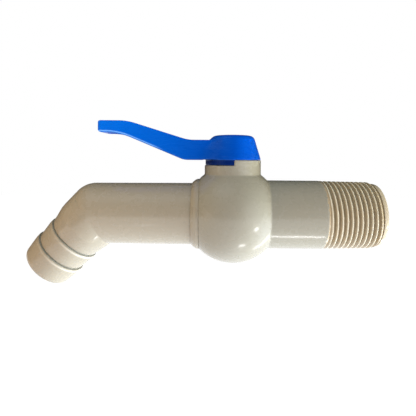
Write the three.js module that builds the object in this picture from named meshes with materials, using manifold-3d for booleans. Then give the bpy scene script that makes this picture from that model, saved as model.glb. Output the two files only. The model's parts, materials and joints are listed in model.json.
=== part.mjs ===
// A plastic hose tap: a quarter-turn ball valve with a threaded inlet shank on one side and a bent,
// barbed hose spout on the other, worked by a lever on top.
//
// Millimetres, +Z up along the stem, +X out of the inlet. The origin is the centre of the inlet end
// face. Every piece is drawn about the ball's centre, and one group carries them to the origin.

import * as THREE from 'three';
import { mergeVertices } from 'three/addons/utils/BufferGeometryUtils.js';
import Module from 'manifold-3d';

const wasm = await Module();
wasm.setup();

// ---------------------------------------------------------------- driving dimensions

const GAP = 0.3; // clearance between pieces that meet
const AROUND = 28; // facets round the body, spout and hub
const AROUND_SMALL = 20; // facets round the small pieces

// Ball chamber and inlet shank, along X
const INLET_X = 56.6; // ball centre to inlet end face
const BODY_R = 18.9; // outside of the ball chamber
const SEAM_X = -13.0; // plane where the spout's collar meets the body
const CHAMBER_R = 11.6; // bore that the ball goes in through, open at the seam
const SHANK_R = 13.35;
const SHANK_BORE_R = 8.8;
const PORT_THROAT_R = 7.5; // waterway behind each seat

// Taper pipe thread, 3/4 inch, 14 turns per inch, 55 degree flanks
const PITCH = 25.4 / 14;
const THREAD_DEPTH = 0.64 * PITCH;
const FLANK_SLOPE = Math.tan(THREE.MathUtils.degToRad(27.5));
const CREST_END_R = 12.92; // crest radius at the small end
const CREST_TAPER = 1 / 54;
const THREAD_START_X = 34.2; // shank side
const THREAD_END_X = 53.3; // where the full crest stops and its chamfer starts
const CREST_FRONT_X = 53.85; // one crest, where the helix faces -Y
const LAND_X = 54.9; // plain land ahead of the thread
const LAND_R = 12.3;
const GROOVE_ROOT_HALF = 0.18;

// Neck, along Z
const NECK_R = 11.15;
const RIM_Z = 21.4; // raised half of the neck's rim
const NOTCH_Z = 19.3; // floor of the stop notch
const BOSS_R = 7.0; // stem boss inside the rim

// Stem and its bore
const STEM_R = 4.5;
const STEM_BORE_R = STEM_R + GAP;
const FLANGE_R = 5.9;
const FLANGE_Z = [11.8, 13.2];
const THRUST_WASHER = 0.8;
const O_RING_GROOVE = 1.6; // width of each groove on the stem
const O_RING_GROOVE_Z = [15.7, 18.6]; // lower edges of the two grooves
const SQUARE = 6.2; // stem's square head, across flats
const SQUARE_Z = [21.2, 25.6];
const TONGUE = { thick: 3.0, long: 8.4, bottom: 8.9 };

// Ball and seats
const BALL_R = 11.4;
const BALL_PORT_R = 7.0;
const SEAT = { inner: 7.6, outer: 10.1, front: 6.2, back: 10.4 };
const SEAT_POCKET_R = SEAT.outer + GAP;
const SEAT_POCKET_X = SEAT.back + GAP;
const BACKING_GROOVE = { inner: 8.2, outer: 10.2, depth: 1.7 };

// Spout
const SPIGOT_R = CHAMBER_R - GAP;
const SPIGOT_END_X = -5.9;
const COLLAR_R = 13.75;
const COLLAR_END_X = -16.1;
const PIPE_R = 12.05; // next to the collar, with a slight draft towards the elbow
const ELBOW_R = 11.85;
const PIPE_BORE_R = 9.4;
const BARB_BORE_R = 8.2;
const BORE_STEP_S = 12.5; // where the elbow's bore narrows to the mouth's
const ELBOW_X = -53.3;
const BEND = THREE.MathUtils.degToRad(46);
const BEND_OUTER_R = 9; // rounding of the elbow's back, fading to a crease at its throat
const BEND_INNER_R = 1;
const BEND_STEPS = 4;
const MOUTH_S = 29.4; // elbow to mouth, along the barbed leg
const MOUTH_EDGE = 0.4; // chamfers of the mouth
// The barbed leg, as distances from the elbow and radii: a taper, then two barbs, each with a short
// shoulder towards the elbow and a long slope towards the mouth.
const LEG = [
  [7.4, 11.7],
  [13.4, 10.42],
  [14.6, 10.78],
  [20.9, 10.1],
  [22.3, 10.63],
  [28.2, 9.95],
];

// Handle
const HUB_Z = [RIM_Z + GAP, 31.2];
const HUB_R = [11.2, 8.5];
const LUG_R = [7.7, 10.85];
const LUG_BOTTOM_Z = NOTCH_Z + GAP;
const LUG_PLAY = THREE.MathUtils.degToRad(1.5); // clearance at each stop
const LEVER_HALF = 5.5;
const LEVER_TIP_X = -52.5;
const LEVER_TOP = { root: 29.1, grip: 36.35, bendX: [-17.6, -41.1] };
const LEVER_BOTTOM = { root: HUB_Z[0], grip: 31.65, bendX: [-19.1, -44.3] };
const LEVER_EASE = 2.4; // half length of each bend
const LEVER_TIP_CORNER = 0.9;
const LEVER_WALL = 1.7; // round the hollow under the lever
const WEB_TOP_Z = 26; // floor of the screw pocket
const SCREW_POCKET_R = 4.4;
const CAP_POCKET = { r: 5.6, z: 29.5 };
const CAP = { r: 5.3, thick: 1.2 };

// Handle screw and washers
const SCREW_R = 1.9;
const SCREW_HEAD = { r: 3.4, z: [27.75, 29.2] };
const SCREW_TIP_Z = 18;
const WASHER = { inner: 2.3, outer: 4.0, z: [26.1, 26.7] };
const SPRING_WASHER = { inner: 2.3, outer: 3.6, z: [26.8, 27.6], slot: 0.7 };

// ---------------------------------------------------------------- materials

function material(color, roughness, metalness = 0) {
  return new THREE.MeshStandardMaterial({ color, roughness, metalness });
}

const greyPvc = material(0xb5ae9a, 0.35);
const blueAbs = material(0x0a62d8, 0.3);
const whitePtfe = material(0xf2f2ec, 0.45);
const blackRubber = material(0x1c1c1c, 0.8);
const whitePolymer = material(0xe4e2d8, 0.4);
const steel = material(0xb8babd, 0.3, 1);

// ---------------------------------------------------------------- geometry helpers

// Closed geometry to a solid. A mesh wound inside out is turned the right way first.
function solid(geometry) {
  const bare = geometry.clone();
  bare.deleteAttribute('normal');
  bare.deleteAttribute('uv');
  const merged = mergeVertices(bare, 1e-4);
  const position = merged.attributes.position;
  const index = Array.from(merged.index.array);
  const faces = [];
  let volume = 0;
  const [a, b, c] = [new THREE.Vector3(), new THREE.Vector3(), new THREE.Vector3()];
  for (let i = 0; i < index.length; i += 3) {
    const [p, q, r] = index.slice(i, i + 3);
    if (p === q || q === r || r === p) continue;
    a.fromBufferAttribute(position, p);
    b.fromBufferAttribute(position, q);
    c.fromBufferAttribute(position, r);
    volume += a.dot(b.cross(c));
    faces.push([p, q, r]);
  }
  if (volume < 0) faces.forEach((face) => face.reverse());
  const vertProperties = new Float32Array(position.array);
  const triVerts = new Uint32Array(faces.flat());
  return new wasm.Manifold(new wasm.Mesh({ numProp: 3, vertProperties, triVerts }));
}

function geometryOf(manifold) {
  const mesh = manifold.getMesh();
  const geometry = new THREE.BufferGeometry();
  geometry.setAttribute('position', new THREE.BufferAttribute(mesh.vertProperties, 3));
  geometry.setIndex(new THREE.BufferAttribute(mesh.triVerts, 1));
  geometry.computeVertexNormals();
  return geometry;
}

function join(...solids) {
  return solids.reduce((whole, next) => whole.add(next));
}

function cut(base, ...tools) {
  return tools.reduce((rest, tool) => rest.subtract(tool), base);
}

// Turns a profile of [along, radius] points about X or Z. A profile that ends on the axis is a solid
// of its own; any other is closed back to its first point.
function turned(profile, axis = 'x', around = AROUND) {
  const onAxis = profile[0][1] === 0 && profile.at(-1)[1] === 0;
  const loop = onAxis ? profile : [...profile, profile[0]];
  const points = loop.map(([along, radius]) => new THREE.Vector2(radius, along));
  const geometry = new THREE.LatheGeometry(points, around);
  if (axis === 'x') geometry.rotateZ(-Math.PI / 2);
  else geometry.rotateX(Math.PI / 2);
  return solid(geometry);
}

function cylinder(radius, from, to, axis = 'z', around = AROUND) {
  return turned([[from, 0], [from, radius], [to, radius], [to, 0]], axis, around);
}

function ring(inner, outer, from, to, axis = 'z', around = AROUND_SMALL) {
  return turned([[from, inner], [from, outer], [to, outer], [to, inner]], axis, around);
}

function block(sizeX, sizeY, sizeZ, x, y, z) {
  return solid(new THREE.BoxGeometry(sizeX, sizeY, sizeZ).translate(x, y, z));
}

function arc(centre, radius, fromDegrees, toDegrees, steps) {
  const points = [];
  for (let i = 0; i <= steps; i++) {
    const angle = THREE.MathUtils.degToRad(fromDegrees + ((toDegrees - fromDegrees) * i) / steps);
    points.push([centre[0] + radius * Math.cos(angle), centre[1] + radius * Math.sin(angle)]);
  }
  return points;
}

// Rubber ring of round section, centred at a distance along an axis.
function oRing(radius, section, along, axis) {
  const geometry = new THREE.TorusGeometry(radius, section, 6, AROUND_SMALL);
  if (axis === 'x') geometry.rotateY(Math.PI / 2).translate(along, 0, 0);
  else geometry.translate(0, 0, along);
  return solid(geometry);
}

// A closed skin through rings of points, each ring with the same number of points. The rings are
// either capped at both ends or run round to the first ring again.
function skin(rings, capped) {
  const count = rings[0].length;
  const rows = capped ? rings.length - 1 : rings.length;
  const positions = rings.flat(2);
  const index = [];
  for (let row = 0; row < rows; row++) {
    const next = (row + 1) % rings.length;
    for (let i = 0; i < count; i++) {
      const j = (i + 1) % count;
      const [a, b, c, d] = [row * count + i, row * count + j, next * count + j, next * count + i];
      index.push(a, b, c, a, c, d);
    }
  }
  if (capped) {
    const last = (rings.length - 1) * count;
    for (let i = 1; i < count - 1; i++) {
      index.push(0, i + 1, i, last, last + i, last + i + 1);
    }
  }
  return indexedSolid(positions, index);
}

function indexedSolid(positions, index) {
  const geometry = new THREE.BufferGeometry();
  geometry.setAttribute('position', new THREE.Float32BufferAttribute(positions, 3));
  geometry.setIndex(index);
  return solid(geometry);
}

// ---------------------------------------------------------------- valve body

function crestRadius(x) {
  return CREST_END_R + (INLET_X - x) * CREST_TAPER;
}

// Threaded rod with a right-hand helix: one section of root, flank, crest and flank, carried along
// the helix and joined to the next turn, with a fan to the axis over each end.
function threadedRod(fromX, toX) {
  const rootHalf = GROOVE_ROOT_HALF;
  const crestHalf = PITCH / 2 - GROOVE_ROOT_HALF - THREAD_DEPTH * FLANK_SLOPE;
  const section = [
    [-rootHalf, THREAD_DEPTH],
    [rootHalf, THREAD_DEPTH],
    [PITCH / 2 - crestHalf, 0],
    [PITCH / 2 + crestHalf, 0],
  ];
  const turns = Math.ceil((toX - fromX) / PITCH) + 2;
  const firstX = CREST_FRONT_X + PITCH / 2 - Math.ceil((CREST_FRONT_X - fromX) / PITCH + 1) * PITCH;
  const last = turns * AROUND;
  const positions = [];
  for (let step = 0; step <= last; step++) {
    const angle = Math.PI + (step / AROUND) * 2 * Math.PI;
    for (const [dx, depth] of section) {
      const x = firstX + (step / AROUND) * PITCH + dx;
      const r = crestRadius(x) - depth;
      positions.push(x, r * Math.cos(angle), r * Math.sin(angle));
    }
  }
  const id = (step, k) => step * 4 + k;
  const index = [];
  const quad = (a, b, c, d) => index.push(a, b, c, a, c, d);
  for (let step = 0; step < last; step++) {
    for (let k = 0; k < 3; k++) quad(id(step, k), id(step, k + 1), id(step + 1, k + 1), id(step + 1, k));
    if (step < last - AROUND) {
      quad(id(step, 3), id(step + AROUND, 0), id(step + AROUND + 1, 0), id(step + 1, 3));
    }
  }
  const start = [id(0, 3), id(0, 2), id(0, 1)];
  const end = [id(last, 0), id(last, 1), id(last, 2)];
  for (let step = 0; step <= AROUND; step++) start.push(id(step, 0));
  for (let step = last; step >= last - AROUND; step--) end.push(id(step, 3));
  for (const [loop, x] of [[start, firstX], [end, firstX + turns * PITCH]]) {
    const centre = positions.length / 3;
    positions.push(x, 0, 0);
    loop.forEach((vertex, i) => index.push(centre, vertex, loop[(i + 1) % loop.length]));
  }
  return indexedSolid(positions, index);
}

function bodyOutside() {
  const seamR = Math.sqrt(BODY_R ** 2 - SEAM_X ** 2);
  const seamAngle = THREE.MathUtils.radToDeg(Math.atan2(seamR, SEAM_X));
  const shankAngle = THREE.MathUtils.radToDeg(Math.asin(SHANK_R / BODY_R));
  const shell = turned([
    [SEAM_X, 0],
    ...arc([0, 0], BODY_R, seamAngle, shankAngle, 9),
    [THREAD_START_X, SHANK_R],
    [THREAD_START_X + 0.4, SHANK_R - 0.2],
    [THREAD_START_X + 0.4, 0],
  ]);
  const blank = turned([
    [THREAD_START_X, 0],
    [THREAD_START_X, SHANK_R + 0.1],
    [THREAD_END_X, crestRadius(THREAD_END_X)],
    [LAND_X + 0.3, LAND_R - 0.3],
    [LAND_X + 0.3, 0],
  ]);
  const land = turned([
    [LAND_X, 0],
    [LAND_X, LAND_R],
    [INLET_X - 0.7, LAND_R],
    [INLET_X - 0.2, LAND_R - 0.2],
    [INLET_X, LAND_R - 0.6],
    [INLET_X, 0],
  ]);
  const thread = threadedRod(THREAD_START_X, INLET_X).intersect(blank);
  return join(shell, thread, land, cylinder(NECK_R, 5, RIM_Z));
}

// The ball's bore, the inlet seat's pocket with its O-ring groove, and the waterway.
function bodyInside() {
  const pocket = SEAT_POCKET_X;
  const waterway = turned([
    [SEAM_X - 1, 0],
    [SEAM_X - 1, CHAMBER_R],
    [4.4, CHAMBER_R],
    [5.6, SEAT_POCKET_R],
    [pocket, SEAT_POCKET_R],
    [pocket, PORT_THROAT_R],
    [14, PORT_THROAT_R],
    [17, SHANK_BORE_R],
    [INLET_X - 0.4, SHANK_BORE_R],
    [INLET_X, SHANK_BORE_R + 0.4],
    [INLET_X + 1, SHANK_BORE_R + 0.4],
    [INLET_X + 1, 0],
  ]);
  const { inner, outer, depth } = BACKING_GROOVE;
  return join(waterway, ring(inner, outer, pocket - 0.05, pocket + depth, 'x', AROUND));
}

// Half of the rim is cut down to the notch floor, all round the boss.
function stopNotch() {
  const half = block(2 * NECK_R, 3 * NECK_R, 4, -NECK_R, 0, NOTCH_Z + 2);
  return cut(half, cylinder(BOSS_R, NOTCH_Z - 1, RIM_Z + 5));
}

function valveBody() {
  const flangePocketTop = FLANGE_Z[1] + THRUST_WASHER + 2 * GAP;
  return cut(
    bodyOutside(),
    bodyInside(),
    stopNotch(),
    cylinder(STEM_BORE_R, 5, RIM_Z + 1),
    cylinder(FLANGE_R + GAP, 5, flangePocketTop),
  );
}

// ---------------------------------------------------------------- spout

// One ring of the spout, at a distance along its bent axis. Distances below 0 are back from the elbow
// on the straight pipe, and the others are on the barbed leg.
function bentRing(along, radius) {
  const direction = along < 0 ? 0 : BEND;
  const points = [];
  for (let i = 0; i < AROUND; i++) {
    const angle = (i / AROUND) * 2 * Math.PI;
    const up = radius * Math.cos(angle);
    points.push([
      ELBOW_X - along * Math.cos(direction) - up * Math.sin(direction),
      radius * Math.sin(angle),
      -along * Math.sin(direction) + up * Math.cos(direction),
    ]);
  }
  return points;
}

// Rings through the elbow: each lengthwise line turns on its own small arc, wide at the back of the
// elbow and nearly sharp at its throat.
function elbowRings(radius) {
  const rings = [];
  for (let step = 0; step <= BEND_STEPS; step++) {
    const turn = (step / BEND_STEPS) * BEND;
    const points = [];
    for (let i = 0; i < AROUND; i++) {
      const angle = (i / AROUND) * 2 * Math.PI;
      const up = radius * Math.cos(angle);
      const towardsBack = ((1 + Math.cos(angle)) / 2) ** 2;
      const bendR = BEND_INNER_R + (BEND_OUTER_R - BEND_INNER_R) * towardsBack;
      const cornerX = ELBOW_X - up * Math.tan(BEND / 2);
      const startX = cornerX + bendR * Math.tan(BEND / 2);
      points.push([
        startX - bendR * Math.sin(turn),
        radius * Math.sin(angle),
        up - bendR * (1 - Math.cos(turn)),
      ]);
    }
    rings.push(points);
  }
  return rings;
}

function spout() {
  const straight = (x) => ELBOW_X - x; // X on the pipe, as a distance back from the elbow
  const pocket = -SEAT_POCKET_X;
  const { inner, outer, depth } = BACKING_GROOVE;
  const outside = [
    [straight(SPIGOT_END_X), SPIGOT_R - 0.4],
    [straight(SPIGOT_END_X - 0.4), SPIGOT_R],
    [straight(SEAM_X - GAP), SPIGOT_R],
    [straight(SEAM_X - GAP), COLLAR_R],
    [straight(COLLAR_END_X + 1.8), COLLAR_R - 0.2],
    [straight(COLLAR_END_X + 0.7), COLLAR_R - 0.8],
    [straight(COLLAR_END_X), PIPE_R],
  ];
  const leg = [
    ...LEG,
    [MOUTH_S - MOUTH_EDGE, 9.6],
    [MOUTH_S, 9.2],
    [MOUTH_S, BARB_BORE_R + 0.3],
    [MOUTH_S - MOUTH_EDGE, BARB_BORE_R],
    [BORE_STEP_S, BARB_BORE_R],
  ];
  const inside = [
    [straight(-17.5), PIPE_BORE_R],
    [straight(-14.5), PORT_THROAT_R],
    [straight(pocket), PORT_THROAT_R],
    [straight(pocket), inner],
    [straight(pocket - depth), inner],
    [straight(pocket - depth), outer],
    [straight(pocket), outer],
    [straight(pocket), SEAT_POCKET_R],
    [straight(SPIGOT_END_X), SEAT_POCKET_R],
  ];
  const rings = [
    ...outside.map(([along, radius]) => bentRing(along, radius)),
    ...elbowRings(ELBOW_R),
    ...leg.map(([along, radius]) => bentRing(along, radius)),
    ...elbowRings(PIPE_BORE_R).reverse(),
    ...inside.map(([along, radius]) => bentRing(along, radius)),
  ];
  return skin(rings, false);
}

// ---------------------------------------------------------------- ball, seats and stem

function ball() {
  const sphere = turned([[-BALL_R, 0], ...arc([0, 0], BALL_R, 180, 0, 14).slice(1, -1), [BALL_R, 0]]);
  const slot = block(TONGUE.thick + 2 * GAP, TONGUE.long + 2 * GAP, 6, 0, 0, TONGUE.bottom - GAP + 3);
  return cut(sphere, cylinder(BALL_PORT_R, -BALL_R, BALL_R, 'x'), slot);
}

function seatRing(side) {
  const faceR = BALL_R + GAP;
  const steps = 3;
  const face = [];
  for (let i = 0; i <= steps; i++) {
    const r = SEAT.inner + ((SEAT.outer - 0.3 - SEAT.inner) * i) / steps;
    face.push([side * Math.sqrt(faceR ** 2 - r ** 2), r]);
  }
  return turned([
    ...face,
    [side * SEAT.front, SEAT.outer],
    [side * SEAT.back, SEAT.outer],
    [side * SEAT.back, SEAT.inner],
  ], 'x', AROUND);
}

function seatBackingRing(side) {
  const { inner, outer, depth } = BACKING_GROOVE;
  return oRing((inner + outer) / 2, 0.75, side * (SEAT_POCKET_X + depth / 2), 'x');
}

function stem() {
  const profile = [[FLANGE_Z[0], 0], [FLANGE_Z[0], FLANGE_R], [FLANGE_Z[1], FLANGE_R], [FLANGE_Z[1], STEM_R]];
  for (const z of O_RING_GROOVE_Z) {
    const floor = STEM_R - 1.1;
    profile.push([z, STEM_R], [z, floor], [z + O_RING_GROOVE, floor], [z + O_RING_GROOVE, STEM_R]);
  }
  profile.push([SQUARE_Z[0], STEM_R], [SQUARE_Z[0], 0]);
  const shaft = turned(profile, 'z', AROUND_SMALL);
  const headHeight = SQUARE_Z[1] - SQUARE_Z[0] + 1;
  const head = block(SQUARE, SQUARE, headHeight, 0, 0, SQUARE_Z[1] - headHeight / 2);
  const tongueHeight = FLANGE_Z[0] - TONGUE.bottom + 0.5;
  const tongue = block(TONGUE.thick, TONGUE.long, tongueHeight, 0, 0, TONGUE.bottom + tongueHeight / 2);
  const screwHole = cylinder(SCREW_R + 0.25, SCREW_TIP_Z - 1, SQUARE_Z[1] + 1, 'z', AROUND_SMALL);
  return cut(join(shaft, head, tongue), screwHole);
}

function stemORing(grooveZ) {
  return oRing(STEM_R - 0.45, 0.6, grooveZ + O_RING_GROOVE / 2, 'z');
}

function stemThrustWasher() {
  const bottom = FLANGE_Z[1] + GAP;
  return ring(STEM_R + GAP, FLANGE_R, bottom, bottom + THRUST_WASHER);
}

// ---------------------------------------------------------------- handle

// Outline points of one face of the lever: level at the hub, sloping, then level at the grip, with
// each bend eased over a short distance to both sides.
function leverFace({ root, grip, bendX }) {
  const [nearX, farX] = bendX;
  const ease = LEVER_EASE;
  const slope = (grip - root) / (nearX - farX);
  return [
    [0, root],
    [nearX + ease, root],
    [nearX, root + 0.25 * ease * slope],
    [nearX - ease, root + ease * slope],
    [farX + ease, grip - ease * slope],
    [farX, grip - 0.25 * ease * slope],
    [farX - ease, grip],
  ];
}

// The lever seen from the side, in X and Z.
function leverSide() {
  const corner = LEVER_TIP_CORNER;
  const tip = [
    [LEVER_TIP_X + corner, LEVER_TOP.grip],
    [LEVER_TIP_X, LEVER_TOP.grip - corner],
    [LEVER_TIP_X, LEVER_BOTTOM.grip + corner],
    [LEVER_TIP_X + corner, LEVER_BOTTOM.grip],
  ];
  const outline = [...leverFace(LEVER_TOP), ...tip, ...leverFace(LEVER_BOTTOM).reverse()];
  return new THREE.Shape(outline.map(([x, z]) => new THREE.Vector2(x, z)));
}

// The lever seen from above: parallel sides that flare into the hub, and a round-cornered tip.
function leverPlan() {
  const tip = LEVER_TIP_X;
  const corner = 1.4;
  const flare = 6.3;
  const flareX = [-6.4, -9, -15];
  const shape = new THREE.Shape();
  shape.moveTo(0, -flare);
  shape.lineTo(flareX[0], -flare);
  shape.quadraticCurveTo(flareX[1], -LEVER_HALF, flareX[2], -LEVER_HALF);
  shape.lineTo(tip + corner, -LEVER_HALF);
  shape.quadraticCurveTo(tip, -LEVER_HALF, tip, -LEVER_HALF + corner);
  shape.lineTo(tip, LEVER_HALF - corner);
  shape.quadraticCurveTo(tip, LEVER_HALF, tip + corner, LEVER_HALF);
  shape.lineTo(flareX[2], LEVER_HALF);
  shape.quadraticCurveTo(flareX[1], LEVER_HALF, flareX[0], flare);
  shape.lineTo(0, flare);
  return shape;
}

function lever() {
  const settings = { depth: 2 * NECK_R, bevelEnabled: false, curveSegments: 3 };
  const side = new THREE.ExtrudeGeometry(leverSide(), settings);
  side.rotateX(Math.PI / 2).translate(0, NECK_R, 0);
  const plan = new THREE.ExtrudeGeometry(leverPlan(), settings);
  plan.translate(0, 0, NOTCH_Z);
  return solid(side).intersect(solid(plan));
}

// Hollow under the lever, open below, which leaves a skin on top and a wall all round.
function leverCore() {
  const [nearX, farX] = LEVER_TOP.bendX;
  const rootX = -13.5;
  const tipX = LEVER_TIP_X + 2.7;
  const below = 3;
  const outline = [
    [rootX, LEVER_TOP.root - LEVER_WALL],
    [nearX, LEVER_TOP.root - LEVER_WALL],
    [farX, LEVER_TOP.grip - LEVER_WALL],
    [tipX, LEVER_TOP.grip - LEVER_WALL],
    [tipX, LEVER_BOTTOM.grip - below],
    [LEVER_BOTTOM.bendX[1], LEVER_BOTTOM.grip - below],
    [LEVER_BOTTOM.bendX[0], LEVER_BOTTOM.root - below],
    [rootX, LEVER_BOTTOM.root - below],
  ];
  const shape = new THREE.Shape(outline.map(([x, z]) => new THREE.Vector2(x, z)));
  const width = 2 * (LEVER_HALF - LEVER_WALL);
  const geometry = new THREE.ExtrudeGeometry(shape, { depth: width, bevelEnabled: false });
  geometry.rotateX(Math.PI / 2).translate(0, width / 2, 0);
  return solid(geometry);
}

function hub() {
  const [bottom, top] = HUB_Z;
  const [bottomR, topR] = HUB_R;
  return turned([
    [bottom, 0],
    [bottom, bottomR],
    [bottom + 0.5, bottomR - 0.1],
    [top - 1.3, topR],
    [top - 0.5, topR - 0.45],
    [top - 0.15, topR - 1.4],
    [top, 0],
  ], 'z');
}

// Stop lug: a quarter ring under the hub, which turns inside the neck's notch.
function stopLug() {
  const [inner, outer] = LUG_R;
  const from = Math.PI + LUG_PLAY;
  const to = 1.5 * Math.PI - LUG_PLAY;
  const shape = new THREE.Shape();
  shape.absarc(0, 0, outer, from, to, false);
  shape.absarc(0, 0, inner, to, from, true);
  const height = HUB_Z[0] + 0.5 - LUG_BOTTOM_Z;
  const geometry = new THREE.ExtrudeGeometry(shape, { depth: height, bevelEnabled: false, curveSegments: 7 });
  return solid(geometry.translate(0, 0, LUG_BOTTOM_Z));
}

function handle() {
  const socket = SQUARE + 2 * GAP;
  return cut(
    join(hub(), lever(), stopLug()),
    leverCore(),
    block(socket, socket, 10, 0, 0, WEB_TOP_Z - 4.5),
    cylinder(SCREW_POCKET_R, WEB_TOP_Z, HUB_Z[1] + 1, 'z', AROUND_SMALL),
    cylinder(CAP_POCKET.r, CAP_POCKET.z, HUB_Z[1] + 1, 'z', AROUND_SMALL),
  );
}

function handleCap() {
  const bottom = CAP_POCKET.z + GAP;
  const top = bottom + CAP.thick;
  return turned([
    [bottom, 0],
    [bottom, CAP.r],
    [top - 0.25, CAP.r],
    [top, CAP.r - 0.5],
    [top + 0.1, 0],
  ], 'z', AROUND_SMALL);
}

function handleScrew() {
  const [under, over] = SCREW_HEAD.z;
  const screw = turned([
    [SCREW_TIP_Z, 0],
    [SCREW_TIP_Z, SCREW_R - 0.6],
    [SCREW_TIP_Z + 0.8, SCREW_R],
    [under, SCREW_R],
    [under, SCREW_HEAD.r],
    [over - 0.7, SCREW_HEAD.r],
    [over, SCREW_HEAD.r - 1],
    [over, 0],
  ], 'z', AROUND_SMALL);
  const slots = [block(4.2, 0.8, 2, 0, 0, over), block(0.8, 4.2, 2, 0, 0, over)];
  return cut(screw, ...slots);
}

function screwWasher() {
  return ring(WASHER.inner, WASHER.outer, ...WASHER.z);
}

// Split washer: a ring with a narrow slot.
function springWasher() {
  const { inner, outer, z, slot } = SPRING_WASHER;
  const whole = ring(inner, outer, ...z);
  return cut(whole, block(outer, slot, 2, outer, 0, (z[0] + z[1]) / 2));
}

// ---------------------------------------------------------------- assembly

const tap = new THREE.Group();
const aboutBall = new THREE.Group();
aboutBall.position.x = -INLET_X;
tap.add(aboutBall);

function place(name, piece, look) {
  const mesh = new THREE.Mesh(geometryOf(piece), look);
  mesh.name = name;
  aboutBall.add(mesh);
}

place('valve_body', valveBody(), greyPvc);
place('spout', spout(), greyPvc);
place('ball', ball(), whitePolymer);
place('seat_ring_inlet', seatRing(1), whitePtfe);
place('seat_ring_outlet', seatRing(-1), whitePtfe);
place('seat_o_ring_inlet', seatBackingRing(1), blackRubber);
place('seat_o_ring_outlet', seatBackingRing(-1), blackRubber);
place('stem', stem(), whitePolymer);
place('stem_o_ring_lower', stemORing(O_RING_GROOVE_Z[0]), blackRubber);
place('stem_o_ring_upper', stemORing(O_RING_GROOVE_Z[1]), blackRubber);
place('stem_thrust_washer', stemThrustWasher(), whitePtfe);
place('handle', handle(), blueAbs);
place('handle_screw', handleScrew(), steel);
place('screw_washer', screwWasher(), steel);
place('spring_washer', springWasher(), steel);
place('handle_cap', handleCap(), blueAbs);

export default tap;
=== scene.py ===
import json
import math

import bpy
import numpy as np
from mathutils import Matrix, Vector


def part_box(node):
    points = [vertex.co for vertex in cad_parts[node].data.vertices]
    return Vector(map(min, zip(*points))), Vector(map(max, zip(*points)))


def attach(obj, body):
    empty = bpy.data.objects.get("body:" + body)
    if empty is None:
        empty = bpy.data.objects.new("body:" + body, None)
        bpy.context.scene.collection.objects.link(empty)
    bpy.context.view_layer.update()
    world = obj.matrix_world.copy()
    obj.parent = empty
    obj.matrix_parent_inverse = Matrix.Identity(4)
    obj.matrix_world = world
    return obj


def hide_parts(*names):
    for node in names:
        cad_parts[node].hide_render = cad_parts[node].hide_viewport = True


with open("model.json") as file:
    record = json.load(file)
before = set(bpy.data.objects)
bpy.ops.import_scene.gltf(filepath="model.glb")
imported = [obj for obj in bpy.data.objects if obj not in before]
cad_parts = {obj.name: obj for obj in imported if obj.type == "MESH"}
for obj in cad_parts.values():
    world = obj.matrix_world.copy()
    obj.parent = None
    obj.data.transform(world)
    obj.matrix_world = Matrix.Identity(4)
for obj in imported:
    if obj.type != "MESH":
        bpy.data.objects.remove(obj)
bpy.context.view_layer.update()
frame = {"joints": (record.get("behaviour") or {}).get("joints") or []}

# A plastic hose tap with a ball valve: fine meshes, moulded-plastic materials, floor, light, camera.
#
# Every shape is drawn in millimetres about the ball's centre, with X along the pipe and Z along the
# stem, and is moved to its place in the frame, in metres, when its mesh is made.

MM = 0.001
TURN = 2 * math.pi

# ------------ sizes

STEM_AXIS = Vector(frame["joints"][0]["pos_m"])  # the ball's centre, in metres


def reach(node, corner, axis):
    """How far a CAD node reaches from the ball's centre, in mm: corner 0 is low and 1 is high."""
    return (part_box(node)[corner][axis] - STEM_AXIS[axis]) / MM


INLET_X = reach("valve_body", 1, 0)
SEAM_X = reach("valve_body", 0, 0)
RIM_Z = reach("valve_body", 1, 2)
LEVER_TOP = reach("handle", 1, 2)
LEVER_TIP_X = reach("handle", 0, 0)
CLOSE = 0.04  # visible clearance where the handle meets the neck

# Ball and the seats on both sides of it.
BALL_R = 11.4
PORT_R = 7.0
SLOT_HALF_X, SLOT_HALF_Y = 1.8, 4.5
SLOT_FLOOR_Z = 8.6
SEAT_IN, SEAT_OUT, SEAT_FRONT, SEAT_BACK = 7.6, 10.1, 6.2, 10.4
SEAT_PLAY = 0.12  # visible gap between a seat's face and the ball
RING_GROOVE_IN, RING_GROOVE_OUT, RING_GROOVE_DEPTH = 8.2, 10.2, 1.7
SEAT_RING_R, SEAT_RING_SECTION = 9.2, 0.75
POCKET_R = SEAT_OUT + 0.3
POCKET_X = SEAT_BACK + 0.3

# Body: ball chamber, neck and shank, and the waterway through them.
BODY_R = 18.9
SHANK_R = 13.35
NECK_R = 11.15
NOTCH_Z = RIM_Z - 2.1
SHOULDER_RISE = 0.35  # how much fuller the ball chamber is round the neck's foot
BOSS_R = 7.0
BODY_BOX = (-14.2, -19.9, -19.9), (35.0, 19.9, 22.2)  # round the moulding without its thread
CHAMBER_R = 11.6
CHAMBER_END_X = 4.4
THROAT_R = 7.5
THROAT_END_X = 14.0
SHANK_BORE_R = 8.8
SHANK_BORE_START_X = 17.0
STEM_BORE_R = 4.8
FLANGE_BORE_R = 6.2
FLANGE_BORE_TOP = 14.6

# Inlet thread.
PITCH = 25.4 / 14
THREAD_DEPTH = 0.64 * PITCH
FLANK_SLOPE = math.tan(math.radians(27.5))
CREST_END_R = 12.92
CREST_TAPER = 1 / 54
CREST_HALF = 0.17
ROOT_HALF = PITCH / 2 - CREST_HALF - THREAD_DEPTH * FLANK_SLOPE
CREST_FRONT_X = INLET_X - 2.75
THREAD_START_X = INLET_X - 22.4
THREAD_END_X = INLET_X - 3.3
LAND_X = INLET_X - 1.7
LAND_R = 12.3
# Where the crest's pale colour, a painted highlight, starts and stops fading, in half pitches from its
# middle, and a value between the two for the plain land at the end.
CREST_EDGE = 0.2, 0.34
LAND_OFF_CREST = 0.28

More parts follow.
